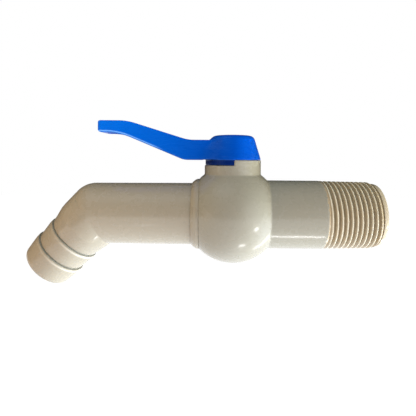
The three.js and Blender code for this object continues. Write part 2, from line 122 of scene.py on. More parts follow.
# Spout: spigot, collar, pipe, elbow and barbs. The leg is measured along the bent axis.
SPOUT_AROUND = 160
PIPE_R = 12.05
ELBOW_R = 11.82
PIPE_BORE_R = 9.4
BARB_BORE_R = 8.2
COLLAR_R = 13.8
COLLAR_END_X = SEAM_X - 3.1
SEAM_GAP = 0.01
SPIGOT_R = CHAMBER_R - 0.3
SPIGOT_END_X = -5.9
ELBOW_X = -53.3
BEND = math.radians(46)
BEND_OUTER_R = 9.0
BEND_INNER_R, BORE_BEND_INNER_R = 0.25, 1.0
ELBOW_STEPS, BORE_ELBOW_STEPS = 14, 8
CREASE = 2.2  # a higher power carries the elbow's tight inner crease further round it
LEG_LENGTH = 29.4
BARBS = [(13.3, 10.2, 10.8), (20.8, 9.9, 10.66)]  # groove's place, its radius and the crest's

# Handle: hub, lever hollow underneath, and stop lug.
HUB_BOTTOM = RIM_Z + CLOSE
HUB_TOP = 31.2
HUB_DRAFT = 0.305  # how far the hub's wall leans in for each mm up
HUB_CROWN = 0.004  # the hub's top falls by this times the square of the distance out
LEVER_HALF = 5.5
LEVER_ROOT_TOP, LEVER_ROOT_BOTTOM = 29.1, 21.3
TOP_SLOPE, BOTTOM_SLOPE = 0.308, 0.413
TOP_BENDS = [(-17.6, TOP_SLOPE, 2.2), (-41.1, -TOP_SLOPE, 3.0)]  # place, change of slope, half width
BOTTOM_BENDS = [(-19.1, BOTTOM_SLOPE, 1.5), (-44.3, -BOTTOM_SLOPE, 5.0)]
CLEAR_OF_HUB_X = -20.0
GRIP_START_X = -26.0
HOLLOW_HALF = 3.8
HOLLOW_START_X = -13.6
HOLLOW_ROOF, HOLLOW_TIP_WALL = 1.9, 2.4
LUG_R, LUG_HALF_WIDTH, LUG_HALF_HEIGHT = 9.275, 1.575, 1.6
LUG_BOTTOM = NOTCH_Z + 2 * CLOSE
LUG_PLAY = math.radians(1.5)

# Stem, from its tongue in the ball's slot to its square head in the handle's socket.
STEM_R = 4.5
TONGUE_HALF_X, TONGUE_HALF_Y = 1.5, 4.2
TONGUE_BOTTOM, TONGUE_TOP = 8.9, 12.3
FLANGE_R = 5.9
FLANGE_BOTTOM, FLANGE_TOP = 11.8, 13.2
THRUST_BOTTOM, THRUST_TOP = 13.5, 14.3
SHAFT_BOTTOM, SHAFT_TOP = 12.0, 21.2
STEM_GROOVE_R, STEM_GROOVE_HEIGHT = 3.4, 1.6
STEM_GROOVES = {"lower": 15.7, "upper": 18.6}
STEM_RING_R, STEM_RING_SECTION = 4.05, 0.6
HEAD_HALF = 3.1
HEAD_BOTTOM, HEAD_TOP = 20.0, 25.6
SCREW_HOLE_R, SCREW_HOLE_BOTTOM = 2.15, 17.0
SOCKET_HALF, SOCKET_TOP = HEAD_HALF + 0.3, 27.0

# Screw, washers and cap, stacked in the hub's pocket.
WASHER_POCKET_R, WASHER_POCKET_FLOOR = 4.4, 26.0
WASHER_IN, WASHER_OUT = 2.3, 4.0
WASHER_BOTTOM, WASHER_TOP = 26.1, 26.7
SPLIT_OUT, SPLIT_BOTTOM, SPLIT_HEIGHT = 3.6, 26.8, 0.66
SCREW_CORE_R, SCREW_THREAD_DEPTH, SCREW_PITCH = 1.62, 0.28, 0.7
SCREW_TIP, SCREW_SHANK_TOP = 18.0, 28.0
SCREW_HEAD_R, SCREW_HEAD_BOTTOM = 3.4, 27.75
CAP_POCKET_R, CAP_POCKET_FLOOR = 5.4, 29.5
CAP_R, CAP_BOTTOM, CAP_TOP = 5.25, 29.8, 31.1


# ------------ mesh making

SQUARE = [(-1, -1), (1, -1), (1, 1), (-1, 1)]
CUBE = [(i, j, k) for i in (0, 1) for j in (0, 1) for k in (0, 1)]
NEARLY_STRAIGHT = math.radians(86)  # half the angle of a corner too flat to round
SAME_PLACE = 1e-6


def make_object(name, points, faces, smooth_angle=35.0):
    """A mesh object from points in mm about the ball's centre."""
    mesh = bpy.data.meshes.new(name)
    placed = np.asarray(points, float) * MM + np.array(STEM_AXIS)
    mesh.from_pydata(placed.tolist(), [], [tuple(int(i) for i in face) for face in faces])
    mesh.update()
    piece = bpy.data.objects.new(name, mesh)
    bpy.context.scene.collection.objects.link(piece)
    shade(piece, smooth_angle)
    return piece


def shade(piece, smooth_angle):
    """Smooth shading, with edges sharper than an angle in degrees left crisp."""
    piece.data.shade_smooth()
    piece.data.set_sharp_from_angle(angle=math.radians(smooth_angle))


def store(piece, name, values):
    """Keeps a number for each point, for a material to read."""
    data = piece.data.attributes.new(name, "FLOAT", "POINT").data
    data.foreach_set("value", values.astype(np.float32))


def places(items, what):
    """Where vertices or faces lie, in mm about the ball's centre."""
    values = np.empty(len(items) * 3, np.float32)
    items.foreach_get(what, values)
    return (values.reshape(-1, 3) - np.array(STEM_AXIS)) / MM


def combine(base, other, operation):
    """Joins or cuts base with another piece, which is used up."""
    modifier = base.modifiers.new("combine", "BOOLEAN")
    modifier.operation = operation
    modifier.solver = "MANIFOLD"
    modifier.object = other
    bpy.context.view_layer.update()
    depsgraph = bpy.context.evaluated_depsgraph_get()
    result = bpy.data.meshes.new_from_object(base.evaluated_get(depsgraph))
    base.modifiers.clear()
    base.data = result
    bpy.data.objects.remove(other)


def facing_out(points, faces):
    """The faces, all turned round if they look inwards."""
    if signed_volume(points, faces) < 0:
        return [face[::-1] for face in faces]
    return faces


def ring_faces(rows, count, closed):
    """Quads between rows of points, each row a ring. Closed runs the last row back to the first."""
    faces = []
    for row in range(rows if closed else rows - 1):
        near = row * count
        far = ((row + 1) % rows) * count
        for i in range(count):
            j = (i + 1) % count
            faces.append((near + i, near + j, far + j, far + i))
    return faces


def signed_volume(points, faces):
    """Six times the volume inside the faces, below zero where they look inwards."""
    total = 0.0
    for face in faces:
        a = points[face[0]]
        for k in range(1, len(face) - 1):
            total += np.dot(a, np.cross(points[face[k]], points[face[k + 1]]))
    return total


def rounded(profile, radius):
    """Rounds the corners of a profile of (along, out) points. Points on the axis stay as they are."""
    points = np.array(profile, float)
    result = []
    for i, corner in enumerate(points):
        before = points[i - 1] - corner
        after = points[(i + 1) % len(points)] - corner
        lengths = np.linalg.norm(before), np.linalg.norm(after)
        if corner[1] == 0 or radius == 0 or min(lengths) < SAME_PLACE:
            result.append(corner)
            continue
        before = before / lengths[0]
        after = after / lengths[1]
        half = math.acos(np.clip(np.dot(before, after), -1, 1)) / 2
        if half > NEARLY_STRAIGHT:
            result.append(corner)
            continue
        back = min(radius / math.tan(half), 0.45 * min(lengths))
        for t in np.linspace(0, 1, 5):
            result.append(corner + before * back * (1 - t) ** 2 + after * back * t**2)
    return result


def turned(name, profile, axis="x", around=128, radius=0.0, smooth_angle=35.0):
    """Turns a profile of (along, out) points about X or Z."""
    outline = rounded(profile, radius)
    points, faces, rows = [], [], []
    for along, out in outline:
        if out == 0:
            rows.append([len(points)] * around)
            points.append(on_axis(along, 0, 0, axis))
            continue
        rows.append(list(range(len(points), len(points) + around)))
        points += [on_axis(along, out, TURN * i / around, axis) for i in range(around)]
    for k in range(len(rows)):
        near, far = rows[k], rows[(k + 1) % len(rows)]
        if near[0] == near[1] and far[0] == far[1]:
            continue
        for i in range(around):
            j = (i + 1) % around
            loop = [near[i], near[j], far[j], far[i]]
            faces.append(list(dict.fromkeys(loop)))
    points = np.array(points)
    return make_object(name, points, facing_out(points, faces), smooth_angle)


def on_axis(along, out, angle, axis):
    """The point at an angle round X or Z, as far along the axis and out from it as given."""
    if axis == "x":
        return (along, out * math.cos(angle), out * math.sin(angle))
    return (out * math.cos(angle), out * math.sin(angle), along)


# ------------ solids as formulas
# Each formula is below zero inside the solid and about a distance in mm outside it. The larger of two
# is the solid that they share, and the smaller is both together. The last number of soft_max and
# soft_min is how rounded the corner or fillet between the two is, in mm.

def soft_max(a, b, blend):
    share = np.clip(0.5 - 0.5 * (b - a) / blend, 0, 1)
    return b + (a - b) * share + blend * share * (1 - share)


def soft_min(a, b, blend):
    return -soft_max(-a, -b, blend)


def slab(value, low, high):
    """Below zero between two levels."""
    return np.abs(value - (low + high) / 2) - (high - low) / 2


def slope_profile(x, level, bends):
    """A height that starts at a level and bends at each (place, change of slope, half width)."""
    height = np.full_like(x, level)
    for place, change, half in bends:
        t = place - x
        ramp = np.where(t < -half, 0, np.where(t > half, t, (t + half) ** 2 / (4 * half)))
        height = height + change * ramp
    return height


def net(name, formula, low, high, cell):
    """A smooth closed mesh on the zero surface of a formula (naive surface nets, then projected)."""
    counts = [int(math.ceil((end - start) / cell)) + 1 for start, end in zip(low, high)]
    axes = [start + cell * np.arange(count) for start, count in zip(low, counts)]
    grid = np.meshgrid(*[axis.astype(np.float32) for axis in axes], indexing="ij")
    value = formula(*grid)
    cells = mixed_cells(value < 0)
    points = np.array(low) + cell * (cells + crossings_middle(value, cells))
    return make_object(name, onto_surface(points, formula, cell), net_faces(value < 0, cells))


def mixed_cells(inside):
    """The grid's cells that have some corners inside the solid and some outside."""
    counts = inside.shape
    some = np.zeros([count - 1 for count in counts], bool)
    every = np.ones_like(some)
    for i, j, k in CUBE:
        part = inside[i:counts[0] - 1 + i, j:counts[1] - 1 + j, k:counts[2] - 1 + k]
        some |= part
        every &= part
    return np.argwhere(some & ~every)


def crossings_middle(value, cells):
    """The middle of the places where the surface crosses a cell's edges, from 0 to 1 in the cell."""
    total = np.zeros((len(cells), 3))
    hits = np.zeros(len(cells))
    for a in CUBE:
        for b in CUBE:
            if sum(b) - sum(a) != 1 or any(q < p for p, q in zip(a, b)):
                continue
            at_a = value[tuple((cells + a).T)].astype(float)
            at_b = value[tuple((cells + b).T)].astype(float)
            crosses = (at_a < 0) != (at_b < 0)
            t = np.where(crosses, at_a / np.where(crosses, at_a - at_b, 1), 0)[:, None]
            total += np.where(crosses[:, None], np.array(a) + t * (np.array(b) - np.array(a)), 0)
            hits += crosses
    return total / hits[:, None]


def net_faces(inside, cells):
    """A quad for each grid edge that the surface crosses, joining the four cells round it."""
    counts = inside.shape
    label = np.full([count - 1 for count in counts], -1, np.int64)
    label[tuple(cells.T)] = np.arange(len(cells))
    faces = []
    for axis in range(3):
        u, v = [k for k in range(3) if k != axis]
        here = [slice(None)] * 3
        there = [slice(None)] * 3
        here[axis] = slice(0, counts[axis] - 1)
        there[axis] = slice(1, counts[axis])
        at = np.argwhere(inside[tuple(here)] != inside[tuple(there)])
        for k in (u, v):
            at = at[(at[:, k] > 0) & (at[:, k] < counts[k] - 1)]
        starts_inside = inside[tuple(at.T)]
        quads = []
        for du, dv in ((1, 1), (0, 1), (0, 0), (1, 0)):
            shifted = at.copy()
            shifted[:, u] -= du
            shifted[:, v] -= dv
            quads.append(label[tuple(shifted.T)])
        quads = np.array(quads).T
        flip = starts_inside if axis != 1 else ~starts_inside
        quads[~flip] = quads[~flip][:, ::-1]
        faces.append(quads)
    return np.concatenate(faces)


def onto_surface(points, formula, cell):
    """Moves each point along the formula's slope onto its zero surface, staying near its cell."""
    start = points.copy()
    furthest = 0.6 * cell
    least_steepness = 0.2
    step = 0.02
    for _ in range(3):
        value = formula(*points.T)
        slope = np.empty_like(points)
        for axis in range(3):
            shift = np.zeros(3)
            shift[axis] = step
            rise = formula(*(points + shift).T) - formula(*(points - shift).T)
            slope[:, axis] = rise / (2 * step)
        steepness = np.maximum((slope**2).sum(1), least_steepness)
        points = points - slope * (value / steepness)[:, None]
        points = start + np.clip(points - start, -furthest, furthest)
    return points


# ------------ valve body

def crest_radius(x):
    return CREST_END_R + (INLET_X - x) * CREST_TAPER


def body_formula(x, y, z):
    """Ball chamber, smooth shank and neck, with the stop notch in the neck's rim."""
    across = np.sqrt(y * y + z * z)
    from_stem = np.sqrt(x * x + y * y)
    chamber = np.sqrt(x * x + across * across) - BODY_R
    shoulder = np.sqrt(x * x + y * y + (z - SHOULDER_RISE) ** 2) - BODY_R
    chamber = soft_max(np.minimum(chamber, shoulder), SEAM_X - x, 0.05)
    shank_end = x - (THREAD_START_X + 0.1)
    shank = soft_max(np.maximum(across - SHANK_R, -x), shank_end, 0.25)
    rim = soft_max(from_stem - NECK_R, z - RIM_Z, 0.45)
    neck = np.maximum(rim, -z)
    notch = soft_max(soft_max(x, NOTCH_Z - z, 0.3), BOSS_R - from_stem, 0.3)
    neck = soft_max(neck, -notch, 0.4)
    solid = soft_min(chamber, shank, 0.35)
    return soft_min(solid, neck, 0.3)


def threaded_rod():
    """Right-hand helix: one profile of root, flank and crest carried round, joined turn to turn."""
    around = 120
    run_out = 1.6
    profile = thread_profile()
    per_turn = len(profile)
    turns = int(math.ceil((INLET_X - THREAD_START_X) / PITCH)) + 2
    first_x = CREST_FRONT_X - math.ceil((CREST_FRONT_X - THREAD_START_X) / PITCH + 1) * PITCH
    last = turns * around
    step = np.arange(last + 1)
    angle = math.pi + step / around * TURN
    points = []
    for offset, depth in profile:
        x = first_x + step / around * PITCH + offset
        cut_in = np.clip((x - THREAD_START_X - 0.3) / run_out, 0, 1)
        r = crest_radius(x) - depth * cut_in
        points.append(np.stack([x, r * np.cos(angle), r * np.sin(angle)], 1))
    points = np.stack(points, 1).reshape(-1, 3)
    faces = []
    for i in range(last):
        for k in range(per_turn - 1):
            a = i * per_turn + k
            faces.append((a, a + 1, a + per_turn + 1, a + per_turn))
        if i < last - around:
            a = i * per_turn + per_turn - 1
            b = (i + around) * per_turn
            faces.append((a, b, b + per_turn, a + per_turn))
    top = per_turn - 1
    start = list(range(top, 0, -1)) + [i * per_turn for i in range(around + 1)]
    end = [last * per_turn + k for k in range(top)]
    end += [i * per_turn + top for i in range(last, last - around - 1, -1)]
    for loop, x in ((start, first_x), (end, first_x + turns * PITCH)):
        centre = len(points)
        points = np.vstack([points, [[x, 0, 0]]])
        faces += [(centre, v, loop[(i + 1) % len(loop)]) for i, v in enumerate(loop)]
    return make_object("thread", points, facing_out(points, faces))


def thread_profile():
    """(along, depth) points of one pitch, with small rounds at crest and root."""
    flank = PITCH / 2 - CREST_HALF - ROOT_HALF
    soft = 0.09
    half = [
        (0.0, 0.0),
        (CREST_HALF * 0.6, 0.01),
        (CREST_HALF + soft * 0.4, soft),
        (CREST_HALF + flank - soft * 0.4, THREAD_DEPTH - soft),
        (PITCH / 2 - ROOT_HALF * 0.6, THREAD_DEPTH - 0.01),
    ]
    mirrored = [(PITCH - along, depth) for along, depth in half[:0:-1]]
    return half + [(PITCH / 2, THREAD_DEPTH)] + mirrored


def waterway_cutter():
    """The bore from the seam to the inlet end, with the seat's pocket and its ring groove."""
    return turned("waterway", [
        (SEAM_X - 1, 0),
        (SEAM_X - 1, CHAMBER_R),
        (CHAMBER_END_X, CHAMBER_R),
        (CHAMBER_END_X + 1.2, POCKET_R),
        (POCKET_X, POCKET_R),
        (POCKET_X, RING_GROOVE_OUT),
        (POCKET_X + RING_GROOVE_DEPTH, RING_GROOVE_OUT),
        (POCKET_X + RING_GROOVE_DEPTH, RING_GROOVE_IN),
        (POCKET_X, RING_GROOVE_IN),
        (POCKET_X, THROAT_R),
        (THROAT_END_X, THROAT_R),
        (SHANK_BORE_START_X, SHANK_BORE_R),
        (INLET_X - 0.5, SHANK_BORE_R),
        (INLET_X, SHANK_BORE_R + 0.4),
        (INLET_X + 1, SHANK_BORE_R + 1.2),
        (INLET_X + 1, 0),
    ], around=160)


def make_body():
    body = net("valve_body_moulding", body_formula, *BODY_BOX, cell=0.3)
    thread = threaded_rod()
    blank = turned("blank", [
        (THREAD_START_X - 0.5, 0),
        (THREAD_START_X - 0.5, SHANK_R - 0.05),
        (THREAD_END_X, crest_radius(THREAD_END_X)),
        (LAND_X + 0.3, LAND_R - 0.3),
        (LAND_X + 0.3, 0),
    ], around=180)
    combine(thread, blank, "INTERSECT")
    land = turned("land", [
        (LAND_X, 0),
        (LAND_X, LAND_R),
        (INLET_X - 0.8, LAND_R),
        (INLET_X - 0.25, LAND_R - 0.18),
        (INLET_X, LAND_R - 0.6),
        (INLET_X, 0),
    ], around=180)
    combine(thread, land, "UNION")
    combine(body, thread, "UNION")
    combine(body, waterway_cutter(), "DIFFERENCE")
    stem_bore = turned("stem_bore", [
        (5, 0),
        (5, FLANGE_BORE_R),
        (FLANGE_BORE_TOP, FLANGE_BORE_R),
        (FLANGE_BORE_TOP, STEM_BORE_R),
        (RIM_Z + 1, STEM_BORE_R),
        (RIM_Z + 1, 0),
    ], axis="z")
    combine(body, stem_bore, "DIFFERENCE")
    shade(body, 32)
    return body


def paint_thread(body):
    """Stores how far each point lies from the thread's crest and how much painted shade it gets, on one
    flank beside each crest and more towards the top, and gives the thread and the end of the shank their
    own materials."""
    x, y, z = places(body.data.vertices, "co").T
    turns = (x - CREST_FRONT_X) / PITCH - (np.arctan2(z, y) - math.pi) / TURN
    behind = 2 * (np.round(turns) - turns)
    on_land = x > LAND_X - 0.02
    store(body, "off_crest", np.where(on_land, LAND_OFF_CREST, np.abs(behind)))
    upper = np.clip(0.5 + 0.5 * z / SHANK_R, 0, 1)
    # Painted shade on one flank beside each crest, more towards the top.
    painted_flank_shade = np.exp(-(((behind - 0.45) / 0.22) ** 2)) * upper
    store(body, "crest_shade", np.where(on_land, 0, painted_flank_shade))
    body.data.materials.append(thread_material())
    body.data.materials.append(end_face_shaded_material())
    x, y, z = places(body.data.polygons, "center").T
    threaded = (x > THREAD_START_X + 0.12) & (np.hypot(y, z) > SHANK_BORE_R + 0.5)
    end_face = threaded & (x > INLET_X - 0.3)
    body.data.polygons.foreach_set("material_index", threaded.astype(np.int32) + end_face)


# ------------ spout

def ring_angles():
    return TURN * np.arange(SPOUT_AROUND) / SPOUT_AROUND


def bent_row(along, radius):
    """A ring on the bent axis. Below zero is back along the pipe from the elbow, above is the leg."""
    turn = BEND if along > 0 else 0.0
    up = radius * np.cos(ring_angles())
    x = ELBOW_X - along * math.cos(turn) - up * math.sin(turn)
    z = -along * math.sin(turn) + up * math.cos(turn)
    return np.stack([x, radius * np.sin(ring_angles()), z], 1)


def elbow_rows(radius, steps, inner):
    """Rings through the elbow, each lengthwise line on its own arc: wide outside, a crease inside."""
    up = radius * np.cos(ring_angles())
    bend_r = inner + (BEND_OUTER_R - inner) * ((1 + np.cos(ring_angles())) / 2) ** CREASE
    start = ELBOW_X - up * math.tan(BEND / 2) + bend_r * math.tan(BEND / 2)
    rows = []
    for k in range(steps + 1):
        turn = BEND * k / steps
        x = start - bend_r * math.sin(turn)
        z = up - bend_r * (1 - math.cos(turn))
        rows.append(np.stack([x, radius * np.sin(ring_angles()), z], 1))
    return rows


def collar_profile():
    """(x, out) points of the spigot and the collar, from inside the body to the pipe."""
    return [
        (SPIGOT_END_X, SPIGOT_R),
        (SEAM_X - SEAM_GAP, SPIGOT_R),
        (SEAM_X - SEAM_GAP, COLLAR_R),
        (SEAM_X - 1.0, COLLAR_R - 0.1),
        (SEAM_X - 1.9, COLLAR_R - 0.5),
        (COLLAR_END_X + 0.6, COLLAR_R - 1.0),
        (COLLAR_END_X + 0.2, COLLAR_R - 1.4),
        (COLLAR_END_X, PIPE_R),
    ]


def leg_profile():
    """(along, out) points of the leg from the elbow, over the barbs and back in through the mouth."""
    leg = [(0, ELBOW_R), (5.8, ELBOW_R - 0.05), (7.4, 11.66)]
    for groove, groove_r, crest_r in BARBS:
        leg += [
            (groove - 0.35, groove_r + 0.2),
            (groove - 0.1, groove_r),
            (groove + 0.06, groove_r),
            (groove + 0.2, crest_r - 0.12),
            (groove + 0.5, crest_r - 0.03),
            (groove + 0.85, crest_r),
            (groove + 1.3, crest_r - 0.01),
            (groove + 1.9, crest_r - 0.02),
        ]
    return leg + [
        (LEG_LENGTH - 1.2, 9.92),
        (LEG_LENGTH - 0.4, 9.6),
        (LEG_LENGTH, 9.2),
        (LEG_LENGTH, BARB_BORE_R + 0.3),
        (LEG_LENGTH - 0.4, BARB_BORE_R),
        (12.5, BARB_BORE_R),
        (0, BARB_BORE_R),
    ]


def outlet_profile():
    """(x, out) points of the pipe's bore, the throat, the ring's groove and the seat's pocket."""
    return [
        (-17.5, PIPE_BORE_R),
        (-14.5, THROAT_R),
        (-POCKET_X, THROAT_R),
        (-POCKET_X, RING_GROOVE_IN),
        (-POCKET_X - RING_GROOVE_DEPTH, RING_GROOVE_IN),
        (-POCKET_X - RING_GROOVE_DEPTH, RING_GROOVE_OUT),
        (-POCKET_X, RING_GROOVE_OUT),
        (-POCKET_X, POCKET_R),
        (SPIGOT_END_X, POCKET_R),
    ]


def make_spout():
    """One skin: collar and pipe, elbow, leg with the barbs, then back through the bore."""
    outside = rounded([(ELBOW_X - x, out) for x, out in collar_profile()], 0.04)[2:]
    leg = rounded(leg_profile(), 0.15)[1:-1]
    inside = [(ELBOW_X - x, out) for x, out in outlet_profile()]
    rows = [bent_row(along, out) for along, out in outside]
    rows += elbow_rows(ELBOW_R, ELBOW_STEPS, BEND_INNER_R)
    first_leg_row = len(rows)
    rows += [bent_row(along, out) for along, out in leg]
    rows += elbow_rows(PIPE_BORE_R, BORE_ELBOW_STEPS, BORE_BEND_INNER_R)[::-1]
    rows += [bent_row(along, out) for along, out in inside]
    points = np.concatenate(rows)
    faces = facing_out(points, ring_faces(len(rows), SPOUT_AROUND, True))
    piece = make_object("spout_moulding", points, faces, 28)
    shade_barbs(piece, [along for along, _ in leg], first_leg_row)
    return piece


def shade_barbs(piece, places_along, first_row):
    """Stores how close each point is to the groove behind a barb, for painted shade in it, and to the
    barb's edge beside it, for a pale painted highlight on the underside."""
    painted_shade = np.zeros(len(piece.data.vertices))
    painted_highlight = np.zeros_like(painted_shade)
    under = 0.5 - 0.5 * np.cos(ring_angles())
    # Painted shade in each barb's groove, and a painted highlight on the edge beyond it, on the lower
    # half.
    for row, along in enumerate(places_along):
        start = (first_row + row) * SPOUT_AROUND
        painted_shade[start:start + SPOUT_AROUND] = near_barb(along, 0, 0.3)
        painted_highlight[start:start + SPOUT_AROUND] = near_barb(along, 0.85, 0.35) * under
    store(piece, "painted_shade", painted_shade)
    store(piece, "painted_highlight", painted_highlight)


def near_barb(along, beyond, spread):
    """1 at a place a little beyond a barb's groove, fading to 0 away from it."""
    return max(math.exp(-(((along - groove - beyond) / spread) ** 2)) for groove, _, _ in BARBS)


# ------------ handle

def lever_top(x):
    return slope_profile(x, LEVER_ROOT_TOP, TOP_BENDS)


def lever_bottom(x):
    return slope_profile(x, LEVER_ROOT_BOTTOM, BOTTOM_BENDS)


def handle_bottom(x):
    """The lever's underside, which steps down to the hub's foot over the neck."""
    over_neck = np.clip((NECK_R + 0.9 + x) / 0.7, 0, 1)
    step = LEVER_ROOT_BOTTOM + (HUB_BOTTOM - LEVER_ROOT_BOTTOM) * over_neck
    return np.maximum(lever_bottom(x), step)


def handle_formula(x, y, z):
    """Hub and lever, flowing together at the sides, the hollow under the lever, and the stop lug.
    A factor just under 1 makes the value of a leaning face a distance."""
    side = np.abs(y) - LEVER_HALF
    tip = LEVER_TIP_X - x
    top = (z - lever_top(x)) * 0.95
    bottom = (handle_bottom(x) - z) * 0.92
    upper = np.maximum(soft_max(side, soft_max(tip, top, 1.3), 0.55), x)
    fillet = 1.8 + 3.2 * np.clip((28.4 - z) / 3, 0, 1)  # wide at the foot, narrow at the top
    whole = soft_min(hub_formula(x, y, z), upper, fillet)
    whole = soft_max(whole, bottom, 0.5)
    clear_of_hub = np.where(x < CLEAR_OF_HUB_X, lever_formula(side, tip, top, bottom), -1)
    whole = soft_max(np.maximum(whole, clear_of_hub), -hollow_formula(x, y, z), 0.4)
    return soft_min(whole, lug_formula(x, y, z), 0.25)


def hub_formula(x, y, z):
    """A cone with a slightly crowned top."""
    out = np.sqrt(x * x + y * y)
    wall = (out - (NECK_R - HUB_DRAFT * (z - HUB_BOTTOM))) * 0.955
    return soft_max(wall, z - (HUB_TOP - HUB_CROWN * out * out), 1.6)


def lever_formula(side, tip, top, bottom):
    """The lever with its long edges and the corners of its tip rounded."""
    ends = soft_max(soft_max(tip, top, 1.3), bottom, 1.7)
    return np.maximum(soft_max(side, ends, 0.55), soft_max(side, tip, 1.4))


def hollow_formula(x, y, z):
    """The hollow between the lever's side walls, below its top."""
    across = soft_max(np.abs(y) - HOLLOW_HALF, z - lever_top(x) + HOLLOW_ROOF, 0.8)
    along = soft_max(LEVER_TIP_X + HOLLOW_TIP_WALL - x, x - HOLLOW_START_X, 0.6)
    return soft_max(across, along, 0.8)


def lug_formula(x, y, z):
    """Quarter ring under the hub that turns in the neck's notch."""
    thick = np.abs(np.sqrt(x * x + y * y) - LUG_R) - LUG_HALF_WIDTH
    high = np.abs(z - LUG_BOTTOM - LUG_HALF_HEIGHT) - LUG_HALF_HEIGHT
    start = y * math.cos(LUG_PLAY) - x * math.sin(LUG_PLAY)
    stop = x * math.cos(LUG_PLAY) + y * math.sin(LUG_PLAY)
    return soft_max(soft_max(thick, high, 0.3), soft_max(start, stop, 0.3), 0.3)


def make_handle():
    low = (LEVER_TIP_X - 0.9, -12.2, LUG_BOTTOM - 0.8)
    high = (12.2, 12.2, LEVER_TOP + 0.9)
    handle = net("handle_moulding", handle_formula, low, high, cell=0.27)
    levels = (HUB_BOTTOM - 3, SOCKET_TOP)
    points = [(i * SOCKET_HALF, j * SOCKET_HALF, z) for z in levels for i, j in SQUARE]
    faces = [(0, 3, 2, 1), (4, 5, 6, 7), (0, 1, 5, 4), (1, 2, 6, 5), (2, 3, 7, 6), (3, 0, 4, 7)]
    combine(handle, make_object("socket", points, faces), "DIFFERENCE")
    pocket = turned("pocket", [
        (WASHER_POCKET_FLOOR, 0),
        (WASHER_POCKET_FLOOR, WASHER_POCKET_R),
        (CAP_POCKET_FLOOR, WASHER_POCKET_R),
        (CAP_POCKET_FLOOR, CAP_POCKET_R),
        (HUB_TOP - 0.2, CAP_POCKET_R),
        (HUB_TOP + 1, CAP_POCKET_R + 1),
        (HUB_TOP + 1, 0),
    ], axis="z")
    combine(handle, pocket, "DIFFERENCE")
    shade(handle, 35)
    return handle


def paint_handle(handle):
    """Stores how close each point is to a line just above the grip's lower edges, for a pale painted
    highlight, and gives the lug its own material, painted dark as shade under the hub."""
    x, y, z = places(handle.data.vertices, "co").T
    from_line = (z - lever_bottom(x) - 0.55) / 0.22
    inward = (LEVER_HALF - np.abs(y)) / 0.4
    on_grip = np.clip((GRIP_START_X - x) / 5, 0, 1)
    # A pale painted highlight just above the grip's lower edges.
    store(handle, "painted_highlight", np.exp(-(from_line**2) - inward**2) * on_grip)
    # The lug's material is painted dark, as shade under the hub.
    handle.data.materials.append(lug_material())
    x, y, z = places(handle.data.polygons, "center").T
    under_hub = (z < HUB_BOTTOM + 0.02) & (x > -NECK_R)
    handle.data.polygons.foreach_set("material_index", under_hub.astype(np.int32))


# ------------ ball, stem, seats, seals, screw

def ball_formula(x, y, z):
    """A ball with a port through it and a slot on top for the stem's tongue."""
    across = np.sqrt(y * y + z * z)
    ball = np.sqrt(x * x + across * across) - BALL_R
    ball = soft_max(ball, PORT_R - across, 0.5)
    slot = soft_max(np.abs(x) - SLOT_HALF_X, np.abs(y) - SLOT_HALF_Y, 0.5)
    slot = soft_max(slot, SLOT_FLOOR_Z - z, 0.3)
    return soft_max(ball, -slot, 0.3)


def make_ball():
    half = BALL_R + 0.6
    return net("valve_ball", ball_formula, (-half,) * 3, (half,) * 3, cell=0.27)


def bar_formula(x, y, z, half_x, half_y, low, high, corner):
    """A rectangular bar that stands between two levels."""
    return soft_max(soft_max(np.abs(x) - half_x, np.abs(y) - half_y, corner), slab(z, low, high), 0.4)


def stem_formula(x, y, z):
    """Tongue, flange, shaft with two seal grooves, square head, and a hole for the screw."""
    out = np.sqrt(x * x + y * y)
    shaft = soft_max(out - STEM_R, slab(z, SHAFT_BOTTOM, SHAFT_TOP), 0.3)
    flange = soft_max(out - FLANGE_R, slab(z, FLANGE_BOTTOM, FLANGE_TOP), 0.3)
    stem = soft_min(shaft, flange, 0.15)
    for low in STEM_GROOVES.values():
        groove = np.maximum(slab(z, low, low + STEM_GROOVE_HEIGHT), STEM_GROOVE_R - out)
        stem = soft_max(stem, -groove, 0.15)
    head = bar_formula(x, y, z, HEAD_HALF, HEAD_HALF, HEAD_BOTTOM, HEAD_TOP, 0.4)
    tongue = bar_formula(x, y, z, TONGUE_HALF_X, TONGUE_HALF_Y, TONGUE_BOTTOM, TONGUE_TOP, 0.5)
    stem = np.minimum(np.minimum(stem, head), tongue)
    hole = np.maximum(out - SCREW_HOLE_R, SCREW_HOLE_BOTTOM - z)
    return soft_max(stem, -hole, 0.2)


def make_stem():
    return net("valve_stem", stem_formula, (-6.6, -6.6, 8.2), (6.6, 6.6, 26.4), cell=0.2)


def make_seat(name, side):
    """A ring with a face hollowed to the ball. Side is 1 towards the inlet and -1 the outlet."""
    face_r = BALL_R + SEAT_PLAY
    profile = [(side * math.sqrt(face_r**2 - r * r), r) for r in np.linspace(SEAT_IN, SEAT_OUT - 0.3, 9)]
    profile += [(side * SEAT_FRONT, SEAT_OUT), (side * SEAT_BACK, SEAT_OUT), (side * SEAT_BACK, SEAT_IN)]
    return turned(name, profile, radius=0.08)


def make_o_ring(name, radius, section, along, axis):
    angles = [TURN * k / 20 for k in range(20)]
    profile = [(along + section * math.cos(a), radius + section * math.sin(a)) for a in angles]
    return turned(name, profile, axis=axis, around=96, smooth_angle=180)


def make_washer(name, inner, outer, low, high):
    profile = [(low, inner), (low, outer), (high, outer), (high, inner)]
    return turned(name, profile, axis="z", around=96, radius=0.12)


